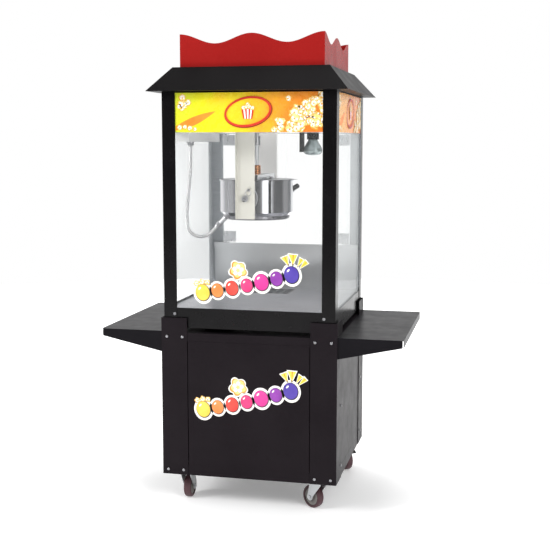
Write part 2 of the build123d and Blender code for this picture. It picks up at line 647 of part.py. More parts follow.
with BuildPart() as lamp_holder:
    with BuildSketch(Plane.XY.offset(1192.0)):
        with Locations((LAMP_X, LAMP_Y)):
            Circle(20.0)
    extrude(amount=36.0)
    with BuildSketch(Plane.XY.offset(1191.0)):
        with Locations((LAMP_X, LAMP_Y)):
            Circle(15.5)
    extrude(amount=31.0, mode=Mode.SUBTRACT)
keep(lamp_holder, "lamp_holder")

with BuildPart() as lamp_shield:
    plate(111.4, 112.6, -22.0, 58.0, 1150.0, CEIL_Z)
    plate(111.4, 126.0, -22.0, 58.0, CEIL_Z - SHEET, CEIL_Z)
keep(lamp_shield, "lamp_shield")

# Gland of the mains lead, in the rear of the case.
with BuildPart() as mains_gland:
    with BuildSketch(Plane.XZ.offset(-g_out)):
        with Locations((180.0, 617.0)):
            RegularPolygon(12.0, 6)
    extrude(amount=-5.0)
    with BuildSketch(Plane.XZ.offset(-g_out - 5.0)):
        with Locations((180.0, 617.0)):
            Circle(9.0)
    extrude(amount=-12.0)
    with BuildSketch(Plane.XZ.offset(-g_out)):
        with Locations((180.0, 617.0)):
            Circle(4.5)
    extrude(amount=-18.0, mode=Mode.SUBTRACT)
keep(mains_gland, "mains_gland")

# -------------------------------------------------------------------- kettle
kettle_plane = Plane(origin=(KX, 0, 0), x_dir=(1, 0, 0), z_dir=(0, -1, 0))
kettle_axis = Axis((KX, 0, 0), (0, 0, 1))
with BuildPart() as kettle_pot:
    with BuildSketch(kettle_plane):
        with BuildLine():
            Polyline((0, POT_Z0), (111.0, POT_Z0), (POT_R, POT_Z0 + 12.0), (POT_R, 1054.0), (125.5, 1054.0),
                     (125.5, POT_RIM_Z), (121.0, POT_RIM_Z), (121.0, POT_Z0 + 12.8), (110.2, POT_Z0 + 2.0),
                     (0, POT_Z0 + 2.0), close=True)
        make_face()
    revolve(axis=kettle_axis)
keep(kettle_pot, "kettle_pot")

# Heater pan under the pot.
with BuildPart() as kettle_heater:
    with BuildSketch(kettle_plane):
        with BuildLine():
            Polyline((0, 926.0), (108.0, 926.0), (112.0, 930.0), (112.0, POT_Z0), (110.8, POT_Z0),
                     (110.8, 930.5), (107.5, 927.2), (0, 927.2), close=True)
        make_face()
    revolve(axis=kettle_axis)
keep(kettle_heater, "kettle_heater")

# Crossbar over the rim, with the lugs and pins of the two lid hinges.
LID_HX, LID_HZ = 39.0, 1063.0
with BuildPart() as kettle_bridge:
    plate(KX - 34.0, KX + 34.0, -122.0, 122.0, POT_RIM_Z, 1076.0)
    plate(KX - 32.0, KX + 32.0, -130.0, 130.0, POT_RIM_Z - 1.0, 1074.0, Mode.SUBTRACT)
    with BuildSketch(Plane.XY.offset(1070.0)):
        with Locations((KX, 0)):
            Circle(8.5)
    extrude(amount=10.0, mode=Mode.SUBTRACT)
    for s in (-1, 1):
        for y in (-62.0, 62.0):
            with BuildSketch(Plane.XZ.offset(-y)):
                with Locations((KX + s * LID_HX, LID_HZ)):
                    Circle(3.1)
                with Locations((KX + s * (LID_HX - 2.5), LID_HZ)):
                    Rectangle(5.0, 5.6)
            extrude(amount=2.0, both=True)
        with BuildSketch(Plane.XZ):
            with Locations((KX + s * LID_HX, LID_HZ)):
                Circle(2.0)
        extrude(amount=62.0, both=True)
keep(kettle_bridge, "kettle_bridge")

with BuildPart() as shaft_bearing:
    with BuildSketch(Plane.XY.offset(1076.0)):
        with Locations((KX, 0)):
            Circle(14.0)
            Circle(SHAFT_R + 0.05, mode=Mode.SUBTRACT)
    extrude(amount=30.0)
    chamfer(shaft_bearing.edges().filter_by(GeomType.CIRCLE).group_by(Axis.Z)[-1].sort_by(SortBy.RADIUS)[-1], 2.0)
keep(shaft_bearing, "shaft_bearing")

# Two half-round lids hinged on the crossbar, each with a lifting tab.
for s, side in ((-1, "left"), (1, "right")):
    with BuildPart() as lid:
        with BuildSketch(Plane.XY.offset(1058.4)):
            with Locations((KX, 0)):
                Circle(126.0)
            with Locations((KX + s * 130.0, 0)):
                Rectangle(16.0, 28.0)
            with Locations((KX - s * 62.0, 0)):
                Rectangle(200.0, 300.0, mode=Mode.SUBTRACT)
        extrude(amount=1.2)
        with BuildSketch(Plane.XZ) as knuckle:
            with Locations((KX + s * LID_HX, LID_HZ)):
                Circle(3.8)
                Circle(2.05, mode=Mode.SUBTRACT)
        extrude(amount=58.0, both=True)
        plate(KX - 60.0, KX + 60.0, -30.0, 30.0, 1059.6, 1070.0, Mode.SUBTRACT)
    keep(lid, "kettle_lid_" + side)

# Trunnions: pad on the pot, stub shaft in the hanger's bush; the front one
# carries the locking disc.
with BuildPart() as kettle_trunnions:
    for s in (-1, 1):
        plate(KX - 22.0, KX + 22.0, min(s * 100.0, s * 139.0), max(s * 100.0, s * 139.0), TILT_Z - 22.0, TILT_Z + 22.0)
        with BuildSketch(Plane.XZ.offset(-s * 139.0)):
            with Locations((KX, TILT_Z)):
                Circle(TRUNNION_R)
        extrude(amount=-s * 22.0)
        with BuildSketch(Plane.XZ.offset(-s * 159.0)):
            with Locations((KX, TILT_Z)):
                Circle(11.0)
        extrude(amount=-s * 3.0)
    with BuildSketch(Plane.XZ.offset(139.0)):
        with Locations((KX, TILT_Z)):
            Circle(38.0)
    extrude(amount=4.0)
    with BuildSketch(Plane.XY.offset(900.0)):
        with Locations((KX, 0)):
            Circle(POT_R)
    extrude(amount=200.0, mode=Mode.SUBTRACT)
keep(kettle_trunnions, "kettle_trunnions")

# Grip that the operator tips the kettle with, towards the rear right.
hd = Vector(0.641, 0.641, 0.4226)
base = Vector(KX + POT_R * 0.7071, POT_R * 0.7071, 1012.0)
with BuildPart() as kettle_handle:
    with BuildSketch(Plane(origin=base - hd * 8.0, z_dir=hd)):
        Circle(5.0)
    extrude(amount=16.0)
    with BuildSketch(Plane(origin=base + hd * 6.0, z_dir=hd)):
        Circle(8.5)
    extrude(amount=46.0)
    fillet(kettle_handle.edges().filter_by(GeomType.CIRCLE).sort_by(Axis.Z)[-1], 4.0)
    with BuildSketch(Plane.XY.offset(900.0)):
        with Locations((KX, 0)):
            Circle(POT_R)
    extrude(amount=200.0, mode=Mode.SUBTRACT)
keep(kettle_handle, "kettle_handle")

with BuildPart() as stirrer:
    with BuildSketch(Plane.XY.offset(943.0)):
        with Locations((KX, 0)):
            Circle(SHAFT_R)
    extrude(amount=1171.5 - 943.0)
    with BuildSketch(Plane.XY.offset(943.0)):
        with Locations((KX, 0)):
            Circle(13.0)
    extrude(amount=20.0)
    with BuildSketch(Plane.XY.offset(943.0)):
        with Locations(Location((KX, 0), 17.0)):
            Rectangle(204.0, 4.0)
    extrude(amount=12.0)
    plate(KX - 6.0, KX + 6.0, -1.8, 1.8, 1170.0, 1184.0)
keep(stirrer, "stirrer")

# --------------------------------------------------------- flexible conduit
# Gland in the heater pan, pointing down and outwards to the left.
gd = Vector(-0.7071, 0, -0.7071)
g_end = Vector(KX - 128.0, -45.0, TILT_Z - 101.0)
with BuildPart() as kettle_gland:
    with BuildSketch(Plane(origin=g_end, z_dir=gd)):
        Circle(8.0)
    extrude(amount=-46.0)
    with BuildSketch(Plane(origin=g_end - gd * 6.0, z_dir=gd)):
        RegularPolygon(10.5, 6)
    extrude(amount=-11.0)
    with BuildSketch(kettle_plane):
        with BuildLine():
            Polyline((0, 926.0), (108.0, 926.0), (112.0, 930.0), (112.0, 938.0), (POT_R, 950.0),
                     (POT_R, 1060.0), (0, 1060.0), close=True)
        make_face()
    revolve(axis=kettle_axis, mode=Mode.SUBTRACT)
keep(kettle_gland, "kettle_gland")

c_end = g_end + gd * 0.5
route = [
    (SOCKET[0], SOCKET[1], 1172.0),
    (-242.8, -100.0, 1112.0),
    (-247.0, -100.8, 1048.0),
    (-254.5, -101.5, 985.0),
    (-258.0, -101.0, 938.0),
    (-257.5, -95.0, 893.3),
    (-244.0, -84.0, 873.2),
    (-221.6, -69.0, 863.9),
    (-197.8, -53.0, 868.6),
    (-183.5, -45.0, 884.5),
    (c_end.X, c_end.Y, c_end.Z),
]
rv = [Vector(*p) for p in route]
radii = []
for i in range(1, len(rv) - 1):
    a, b = rv[i] - rv[i - 1], rv[i + 1] - rv[i]
    turn = a.get_angle(b)
    radii.append(0.45 * min(a.length, b.length) / tan(radians(turn / 2)))
    print("route point", i, "runs", round(a.length, 1), round(b.length, 1), "turn", round(turn, 1),
          "radius", round(radii[-1], 1))
with BuildPart() as conduit:
    with BuildLine() as conduit_path:
        FilletPolyline(*route, radius=radii)
    with BuildSketch(Plane(origin=rv[0], z_dir=(rv[1] - rv[0]).normalized())):
        Circle(CONDUIT_R)
    sweep()
keep(conduit, "conduit")
c_len = sum(e.length for e in conduit_path.edges())
print("conduit length", round(c_len, 1), "volume", round(conduit.part.volume, 1),
      "section x length", round(pi * CONDUIT_R ** 2 * c_len, 1))

# ---------------------------------------------------- drawer and rear cabinet
with BuildPart() as kernel_drawer:
    plate(-105.0, 41.0, 112.0, 278.8, 590.6, 638.0)
    plate(-103.8, 39.8, 113.2, 277.6, 591.8, 640.0, Mode.SUBTRACT)
    plate(-112.0, 48.0, 278.8, 280.3, 590.6, 643.5)
    plate(-62.0, -58.0, 280.3, 296.0, 612.0, 618.0)
    plate(-6.0, -2.0, 280.3, 296.0, 612.0, 618.0)
    plate(-62.0, -2.0, 292.0, 296.0, 612.0, 618.0)
keep(kernel_drawer, "kernel_drawer")

with BuildPart() as cabinet_door:
    plate(-199.5, 199.5, 270.0, 288.0, LOW_RAIL_Z + 1.3, TOP_RAIL_Z - 1.3)
    plate(-198.3, 198.3, 268.0, 286.8, LOW_RAIL_Z + 2.5, TOP_RAIL_Z - 2.5, Mode.SUBTRACT)
    with BuildSketch(Plane.XY.offset(TOP_RAIL_Z - 2.5)):
        with Locations(DOOR_AXIS):
            Circle(4.0)
    extrude(amount=8.0)
    with BuildSketch(Plane.XY.offset(LOW_RAIL_Z + 2.5)):
        with Locations(DOOR_AXIS):
            Circle(4.0)
    extrude(amount=-8.0)
    with BuildSketch(Plane.XZ.offset(-288.0)):
        with Locations((168.0, 345.0)):
            Circle(13.0)
    extrude(amount=-16.0)
keep(cabinet_door, "cabinet_door")
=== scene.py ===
import json
import math
import random

import bmesh
import bpy
from mathutils import Matrix, Vector


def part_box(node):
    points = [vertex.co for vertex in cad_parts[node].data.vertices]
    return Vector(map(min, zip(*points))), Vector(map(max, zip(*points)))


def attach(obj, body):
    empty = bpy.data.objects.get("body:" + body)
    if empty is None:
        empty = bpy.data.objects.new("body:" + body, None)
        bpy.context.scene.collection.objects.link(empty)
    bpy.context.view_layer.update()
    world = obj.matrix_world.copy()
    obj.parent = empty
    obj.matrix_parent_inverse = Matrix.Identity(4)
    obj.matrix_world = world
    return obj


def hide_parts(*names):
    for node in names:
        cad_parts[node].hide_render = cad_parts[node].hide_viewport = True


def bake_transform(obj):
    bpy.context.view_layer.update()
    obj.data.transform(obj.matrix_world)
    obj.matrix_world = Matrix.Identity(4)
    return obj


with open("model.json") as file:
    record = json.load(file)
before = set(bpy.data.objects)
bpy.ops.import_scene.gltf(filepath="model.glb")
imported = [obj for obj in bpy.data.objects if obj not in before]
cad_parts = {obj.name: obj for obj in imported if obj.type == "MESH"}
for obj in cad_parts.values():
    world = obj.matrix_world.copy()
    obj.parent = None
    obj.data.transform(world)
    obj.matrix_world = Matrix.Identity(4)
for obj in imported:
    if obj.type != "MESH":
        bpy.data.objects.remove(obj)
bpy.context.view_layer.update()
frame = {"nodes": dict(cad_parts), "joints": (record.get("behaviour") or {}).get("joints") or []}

NODES = frame["nodes"]
random.seed(7)


# ------------------------------------------------------------------ camera
cam_data = bpy.data.cameras.new("camera")
cam = bpy.data.objects.new("camera", cam_data)
bpy.context.scene.collection.objects.link(cam)
bpy.context.scene.camera = cam
yaw, pitch = math.radians(13.0), math.radians(-7.2)
fwd = Vector((-math.sin(yaw) * math.cos(pitch), math.cos(yaw) * math.cos(pitch), math.sin(pitch)))
right = Vector((math.cos(yaw), math.sin(yaw), 0.0))
up = right.cross(fwd)
rot = Matrix((right, up, -fwd)).transposed()
cam.matrix_world = Matrix.Translation((0.8057, -3.432, 1.1827)) @ rot.to_4x4()
cam_data.sensor_width = 36.0
cam_data.lens = 1038.1 / 550.0 * 36.0
cam_data.shift_x = 0.0051
cam_data.shift_y = -0.002
cam_data.clip_start = 0.05
cam_data.clip_end = 100.0
bpy.context.scene.view_settings.view_transform = "Standard"


# --------------------------------------------------------------- materials
def lin(r, g, b):
    out = []
    for c in (r, g, b):
        c = c / 255.0
        out.append(c / 12.92 if c <= 0.04045 else ((c + 0.055) / 1.055) ** 2.4)
    return (out[0], out[1], out[2], 1.0)


class Mat:
    def __init__(self, name):
        self.m = bpy.data.materials.new(name)
        self.m.use_nodes = True
        self.nt = self.m.node_tree
        self.b = self.nt.nodes["Principled BSDF"]
        self.tc = self.nt.nodes.new("ShaderNodeTexCoord")

    def node(self, kind, **kw):
        n = self.nt.nodes.new(kind)
        for k, v in kw.items():
            setattr(n, k, v)
        return n

    def link(self, a, b):
        self.nt.links.new(a, b)

    def scaled(self, scale):
        mp = self.node("ShaderNodeMapping")
        mp.inputs["Scale"].default_value = scale
        self.link(self.tc.outputs["Object"], mp.inputs["Vector"])
        return mp.outputs["Vector"]

    def noise(self, scale, detail=4.0, rough=0.55, vec=None):
        n = self.node("ShaderNodeTexNoise")
        n.inputs["Scale"].default_value = scale
        n.inputs["Detail"].default_value = detail
        n.inputs["Roughness"].default_value = rough
        self.link(vec if vec is not None else self.tc.outputs["Object"], n.inputs["Vector"])
        return n.outputs["Fac"]

    def ramp(self, fac, stops, interpolation="LINEAR"):
        r = self.node("ShaderNodeValToRGB")
        r.color_ramp.interpolation = interpolation
        e = r.color_ramp.elements
        while len(e) < len(stops):
            e.new(0.5)
        for el, (p, c) in zip(e, stops):
            el.position = p
            el.color = c if len(c) == 4 else (*c, 1.0)
        self.link(fac, r.inputs["Fac"])
        return r.outputs["Color"]

    def remap(self, fac, lo, hi, a=0.3, b=0.7):
        n = self.node("ShaderNodeMapRange")
        n.inputs["From Min"].default_value = a
        n.inputs["From Max"].default_value = b
        n.inputs["To Min"].default_value = lo
        n.inputs["To Max"].default_value = hi
        self.link(fac, n.inputs["Value"])
        return n.outputs["Result"]

    def mix(self, fac, a, b, mode="MIX"):
        n = self.node("ShaderNodeMix", data_type="RGBA", blend_type=mode)
        if isinstance(fac, float):
            n.inputs[0].default_value = fac
        else:
            self.link(fac, n.inputs[0])
        for sock, v in ((n.inputs[6], a), (n.inputs[7], b)):
            if isinstance(v, tuple):
                sock.default_value = v
            else:
                self.link(v, sock)
        return n.outputs[2]

    def bump(self, height, strength, distance=0.001):
        n = self.node("ShaderNodeBump")
        n.inputs["Strength"].default_value = strength
        n.inputs["Distance"].default_value = distance
        self.link(height, n.inputs["Height"])
        self.link(n.outputs["Normal"], self.b.inputs["Normal"])

    def color(self, c):
        if isinstance(c, tuple):
            self.b.inputs["Base Color"].default_value = c
        else:
            self.link(c, self.b.inputs["Base Color"])
        return self

    def rough(self, r):
        if isinstance(r, float):
            self.b.inputs["Roughness"].default_value = r
        else:
            self.link(r, self.b.inputs["Roughness"])
        return self


def enamel(name, base, light, r0, r1, peel=0.12, coat=0.0, spec=0.5, ior=1.5):
    """Sprayed enamel: faint mottling, handling smudges in the gloss, orange peel."""
    k = Mat(name)
    big = k.noise(5.0, 5.0)
    fine = k.noise(90.0, 3.0)
    k.color(k.mix(k.remap(fine, 0.0, 0.35), k.ramp(big, [(0.3, base), (0.75, light)]), light))
    k.rough(k.remap(k.noise(14.0, 6.0, 0.65), r0, r1))
    k.bump(k.noise(420.0, 2.0), peel, 0.0004)
    k.b.inputs["Specular IOR Level"].default_value = spec
    k.b.inputs["IOR"].default_value = ior
    if coat:
        k.b.inputs["Coat Weight"].default_value = coat
        k.b.inputs["Coat Roughness"].default_value = 0.08
    return k.m


def metal(name, c0, c1, r0, r1, stretch=(4.0, 4.0, 220.0), bump=0.06, metallic=1.0):
    """Brushed or plated metal, with its grain drawn out along one direction."""
    k = Mat(name)
    k.b.inputs["Metallic"].default_value = metallic
    grain = k.noise(3.0, 3.0, 0.5, k.scaled(stretch))
    cloud = k.noise(5.0, 3.0)
    k.color(k.mix(k.remap(grain, 0.0, 0.3), k.ramp(cloud, [(0.3, c0), (0.75, c1)]), c1))
    k.rough(k.remap(grain, r0, r1))
    k.bump(grain, bump, 0.0003)
    return k.m


CART = enamel("cart_powder_coat", lin(27, 23, 26), lin(34, 30, 33), 0.26, 0.36, 0.02, ior=1.09)
ROOF = enamel("roof_enamel", lin(11, 10, 11), lin(17, 15, 16), 0.34, 0.44, 0.02, ior=1.13)
SHELF = enamel("shelf_powder_coat", lin(15, 14, 17), lin(22, 20, 24), 0.28, 0.38, 0.02, ior=1.16)
MATT = enamel("matt_black", lin(16, 16, 17), lin(26, 25, 26), 0.6, 0.75, 0.15, spec=0.15)
RED = enamel("crown_red_enamel", lin(140, 26, 25), lin(152, 32, 30), 0.22, 0.32, 0.01, ior=1.1)
CREAM = enamel("hanger_cream_enamel", lin(196, 194, 184), lin(208, 206, 197), 0.30, 0.42, 0.04)
LIGHTGREY = enamel("light_grey_enamel", lin(248, 246, 242), lin(254, 252, 249), 0.32, 0.45, 0.05)
DUCTGREY = enamel("duct_grey_enamel", lin(206, 206, 205), lin(220, 220, 218), 0.32, 0.45, 0.05)
DARKPLASTIC = enamel("black_phenolic", lin(26, 25, 26), lin(42, 40, 41), 0.3, 0.5, 0.3)
STAINLESS = metal("stainless_sheet", lin(216, 218, 220), lin(226, 228, 230), 0.30, 0.34, (3.0, 3.0, 260.0), 0.002)
POT = metal("pot_polished", lin(206, 206, 210), lin(222, 222, 226), 0.08, 0.13, (1.5, 1.5, 200.0), 0.003)
LID = metal("lid_stainless", lin(120, 120, 124), lin(150, 150, 154), 0.25, 0.35, (60.0, 2.0, 60.0), 0.02)
SATIN = metal("satin_steel", lin(170, 170, 172), lin(200, 200, 203), 0.25, 0.4, (30.0, 30.0, 30.0))
ZINC = metal("zinc_plate", lin(168, 170, 172), lin(206, 208, 210), 0.28, 0.5, (18.0, 18.0, 18.0))
SCREW = metal("bright_screw", lin(120, 120, 123), lin(160, 160, 163), 0.22, 0.34, (60.0, 60.0, 60.0))
BRASS = metal("copper_alloy", lin(196, 128, 84), lin(216, 156, 110), 0.2, 0.36, (10.0, 10.0, 120.0))
CLAMP = metal("clamp_satin", lin(206, 207, 210), lin(228, 229, 232), 0.24, 0.36, (80.0, 20.0, 8.0))
MOTOR = enamel("motor_grey", lin(70, 72, 74), lin(92, 94, 96), 0.4, 0.55, 0.3)
FOOT = enamel("foot_rubber", lin(24, 24, 25), lin(36, 36, 37), 0.6, 0.8, 0.5)


def banded(k, axis, lo, hi, absolute=False):
    """1 where the rest-frame coordinate lies between lo and hi, else 0."""
    sp = k.node("ShaderNodeSeparateXYZ")
    k.link(k.tc.outputs["Object"], sp.inputs["Vector"])
    v = sp.outputs[axis]
    if absolute:
        ab = k.node("ShaderNodeMath", operation="ABSOLUTE")
        k.link(v, ab.inputs[0])
        v = ab.outputs[0]
    g = k.node("ShaderNodeMath", operation="GREATER_THAN")
    g.inputs[1].default_value = lo
    l = k.node("ShaderNodeMath", operation="LESS_THAN")
    l.inputs[1].default_value = hi
    m = k.node("ShaderNodeMath", operation="MULTIPLY")
    k.link(v, g.inputs[0])
    k.link(v, l.inputs[0])
    k.link(g.outputs[0], m.inputs[0])
    k.link(l.outputs[0], m.inputs[1])
    return m.outputs[0]


def both(k, a, b, op="MULTIPLY"):
    m = k.node("ShaderNodeMath", operation=op)
    k.link(a, m.inputs[0])
    k.link(b, m.inputs[1])
    return m.outputs[0]


def case_black(name):
    """Black enamel outside; the inner faces of the two rear corner angles are bare grey."""
    k = Mat(name)
    coat = k.ramp(k.noise(5.0, 4.0), [(0.3, lin(11, 10, 11)), (0.75, lin(17, 15, 17))])
    bare = k.ramp(k.noise(6.0, 3.0, 0.5, k.scaled((4.0, 4.0, 60.0))), [(0.3, lin(168, 172, 176)), (0.75, lin(184, 188, 192))])
    rear_leg = both(k, banded(k, 1, 0.2775, 0.27925), banded(k, 2, 0.66, 1.338))
    side_leg = both(k, both(k, banded(k, 0, 0.2775, 0.27925, True), banded(k, 1, 0.23, 0.2792)), banded(k, 2, 0.66, 1.338))
    k.color(k.mix(both(k, rear_leg, side_leg, "MAXIMUM"), coat, bare))
    k.rough(k.remap(k.noise(14.0, 5.0, 0.6), 0.20, 0.30))
    k.b.inputs["IOR"].default_value = 1.25
    k.bump(k.noise(420.0, 2.0), 0.02, 0.0003)
    return k.m


def deck_mat(name):
    """Stainless deck, with painted shade darkening a patch round the sieve slots."""
    k = Mat(name)
    grain = k.noise(3.0, 3.0, 0.5, k.scaled((2.0, 120.0, 30.0)))
    base = k.mix(k.remap(grain, 0.0, 0.4), lin(186, 185, 190), lin(200, 199, 204))
    wob = k.remap(k.noise(12.0, 4.0), 0.8, 1.0)
    # painted shade: the deck colour is darkened over a patch round the sieve slots
    painted_shade_zone = both(k, both(k, banded(k, 0, -0.102, 0.040), banded(k, 1, 0.138, 0.264)), wob)
    k.color(k.mix(painted_shade_zone, base, lin(128, 127, 131)))
    k.b.inputs["Metallic"].default_value = 1.0
    k.rough(k.remap(k.noise(9.0, 5.0), 0.30, 0.42))
    k.bump(grain, 0.01, 0.0003)
    return k.m


def glass_mat(name, tint):
    """Clear tempered pane: mostly see-through, stronger reflection at grazing angles."""
    k = Mat(name)
    k.b.inputs["Base Color"].default_value = tint
    k.rough(k.remap(k.noise(9.0, 5.0), 0.015, 0.06))
    lw = k.node("ShaderNodeLayerWeight")
    lw.inputs["Blend"].default_value = 0.12
    k.link(k.remap(lw.outputs["Fresnel"], 0.02, 0.42, 0.0, 1.0), k.b.inputs["Alpha"])
    k.b.inputs["Specular IOR Level"].default_value = 0.6
    if hasattr(k.m, "surface_render_method"):
        k.m.surface_render_method = "BLENDED"
    return k.m


BLACK = case_black("black_enamel")
DECK = deck_mat("deck_stainless")
GLASS = glass_mat("clear_pane", (0.86, 0.90, 0.90, 1.0))


def wheel_mat(name, centre, axis):
    """Maroon tread outside 27.9 mm from the axle, grey moulded core inside it."""
    k = Mat(name)
    sub = k.node("ShaderNodeVectorMath", operation="SUBTRACT")
    k.link(k.tc.outputs["Object"], sub.inputs[0])
    sub.inputs[1].default_value = centre
    cr = k.node("ShaderNodeVectorMath", operation="CROSS_PRODUCT")
    k.link(sub.outputs[0], cr.inputs[0])
    cr.inputs[1].default_value = axis
    ln = k.node("ShaderNodeVectorMath", operation="LENGTH")
    k.link(cr.outputs[0], ln.inputs[0])
    rad = k.remap(ln.outputs["Value"], 0.0, 1.0, 0.0, 0.0375)
    g = lin(132, 128, 124)
    t = lin(66, 34, 41)
    rings = k.ramp(rad, [(0.0, lin(110, 106, 102)), (0.28, g), (0.30, lin(92, 88, 86)), (0.62, g),
                         (0.735, lin(150, 146, 142)), (0.745, lin(40, 24, 28)), (0.77, t), (1.0, lin(76, 42, 49))])
    k.color(k.mix(k.remap(k.noise(60.0, 4.0), 0.0, 0.35), rings, lin(58, 50, 50)))
    k.rough(k.remap(k.noise(40.0, 4.0), 0.42, 0.62))
    k.bump(k.noise(300.0, 2.0), 0.2, 0.0004)
    return k.m


def paint(mat, *names):
    for n in names:
        o = NODES[n]
        if not o.data.materials:
            o.data.materials.append(mat)
        for i in range(len(o.material_slots)):
            o.material_slots[i].link = "OBJECT"
            o.material_slots[i].material = mat


paint(CART, "cart_corner_posts", "cart_rails", "cart_side_panels", "cart_front_panel", "cart_deck_and_floor",
      "cabinet_door")
paint(SHELF, "side_shelves")
paint(BLACK, "machine_base", "machine_corner_posts", "control_panel")
paint(ROOF, "roof_shell")
paint(MATT, "lamp_shield", "lamp_holder")
paint(RED, "crown_panels")
paint(SCREW, "frame_screws")
paint(ZINC, "caster_top_plates", "caster_fork_fr", "caster_fork_fl", "caster_fork_rl", "caster_fork_rr")
paint(DARKPLASTIC, "brake_pedal_rl", "brake_pedal_rr", "rocker_heat", "rocker_stir", "rocker_light",
      "mains_gland", "kettle_handle")
paint(FOOT, "machine_feet")
paint(DECK, "popcorn_deck")
paint(STAINLESS, "rear_sill_panel", "kernel_drawer", "stirrer", "ceiling_pan", "kettle_bridge")
paint(LID, "kettle_lid_left", "kettle_lid_right", "kettle_heater")
paint(POT, "kettle_pot")
paint(SATIN, "kettle_trunnions", "kettle_gland", "conduit_socket", "drive_shaft", "lock_pin", "door_pivot_brackets")
paint(CLAMP, "rear_door_left_fittings", "rear_door_right_fittings")
paint(BRASS, "shaft_bearing")
paint(CREAM, "hanger_front")
paint(LIGHTGREY, "hanger_rear")
paint(DUCTGREY, "wiring_duct")
paint(MOTOR, "gear_motor")
paint(GLASS, "case_glass", "rear_door_left", "rear_door_right")
for j in frame["joints"]:
    if j["name"].startswith("wheel_spin_"):
        k = j["name"][-2:]
        paint(wheel_mat("caster_wheel_rubber_" + k, tuple(j["pos_m"]), tuple(j["axis"])), "caster_wheel_" + k)


# ----------------------------------------------------------- mesh helpers
def mesh_object(name, verts, faces, mat, body, smooth=False):
    me = bpy.data.meshes.new(name)
    me.from_pydata([tuple(v) for v in verts], [], faces)
    me.validate()
    me.update()
    if smooth:
        for p in me.polygons:
            p.use_smooth = True
    o = bpy.data.objects.new(name, me)
    bpy.context.scene.collection.objects.link(o)
    me.materials.append(mat)
    if body:
        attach(o, body)
    return o


def lathe(name, profile, centre, mat, body, steps=48):
    """A turned piece about a vertical axis through centre; profile is (radius, z)."""
    verts, faces = [], []
    cx, cy = centre
    rings = []
    for r, z in profile:
        if r < 1e-6:
            rings.append([len(verts)])
            verts.append((cx, cy, z))
        else:
            rings.append(list(range(len(verts), len(verts) + steps)))
            for i in range(steps):
                a = 2 * math.pi * i / steps
                verts.append((cx + r * math.cos(a), cy + r * math.sin(a), z))
    for a, b in zip(rings, rings[1:]):
        for i in range(steps):
            j = (i + 1) % steps
            if len(a) == 1 and len(b) == 1:
                continue
            if len(a) == 1:
                faces.append((a[0], b[j], b[i]))
            elif len(b) == 1:
                faces.append((a[i], a[j], b[0]))
            else:
                faces.append((a[i], a[j], b[j], b[i]))
    o = mesh_object(name, verts, faces, mat, body, True)
    return o


# ------------------------------------------------- flexible conduit (cord)
ROUTE = [(-0.2428, -0.1, 1.172), (-0.2428, -0.1, 1.112), (-0.247, -0.1008, 1.048), (-0.2545, -0.1015, 0.985),
         (-0.258, -0.101, 0.938), (-0.2575, -0.095, 0.8933), (-0.244, -0.084, 0.8732), (-0.2216, -0.069, 0.8639),
         (-0.1978, -0.053, 0.8686), (-0.1835, -0.045, 0.8845), (-0.16935, -0.045, 0.89865)]


def centreline(route, name):
    cu = bpy.data.curves.new(name, "CURVE")
    cu.dimensions = "3D"
    cu.resolution_u = 24
    sp = cu.splines.new("NURBS")
    sp.points.add(len(route) - 1)
    for p, c in zip(sp.points, route):
        p.co = (*c, 1.0)
    sp.order_u = 3
    sp.use_endpoint_u = True
    o = bpy.data.objects.new(name, cu)
    bpy.context.scene.collection.objects.link(o)
    bpy.context.view_layer.update()
    me = bpy.data.meshes.new_from_object(o)
    pts = [v.co.copy() for v in me.vertices]
    bpy.data.meshes.remove(me)
    bpy.data.objects.remove(o)
    bpy.data.curves.remove(cu)
    return pts


line = centreline(ROUTE, "conduit_line")


def tube_along(name, pts, radius_at, step, sides, mat):
    """Closed tube whose radius varies along its length, carried along the line without twist."""
    acc = [0.0]
    for a, b in zip(pts, pts[1:]):
        acc.append(acc[-1] + (b - a).length)
    n = int(acc[-1] / step)
    verts, faces = [], []
    ref = Vector((0.0, 1.0, 0.0))
    i = 0
    for s in range(n + 1):
        d = acc[-1] * s / n
        while i < len(acc) - 2 and acc[i + 1] < d:
            i += 1
        t = (d - acc[i]) / max(acc[i + 1] - acc[i], 1e-9)
        p = pts[i].lerp(pts[i + 1], t)
        tan = (pts[min(i + 2, len(pts) - 1)] - pts[max(i - 1, 0)]).normalized()
        u = (ref - tan * ref.dot(tan)).normalized()
        ref = u
        w = tan.cross(u)
        r = radius_at(d)
        for q in range(sides):
            a = 2 * math.pi * q / sides
            verts.append(p + u * (r * math.cos(a)) + w * (r * math.sin(a)))
    for s in range(n):
        for q in range(sides):
            q2 = (q + 1) % sides
            faces.append((s * sides + q, s * sides + q2, (s + 1) * sides + q2, (s + 1) * sides + q))
    faces.append(tuple(reversed(range(sides))))
    faces.append(tuple(range(n * sides, (n + 1) * sides)))
    return mesh_object(name, verts, faces, mat, None, True)


CONDUIT = metal("conduit_zinc_strip", lin(176, 177, 178), lin(214, 214, 214), 0.22, 0.42, (40.0, 40.0, 300.0))
conduit = tube_along("flexible_conduit", line,
                     lambda d: 0.00575 + 0.0005 * math.cos(2 * math.pi * d / 0.0042), 0.0007, 18, CONDUIT)
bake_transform(conduit)
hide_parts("conduit")

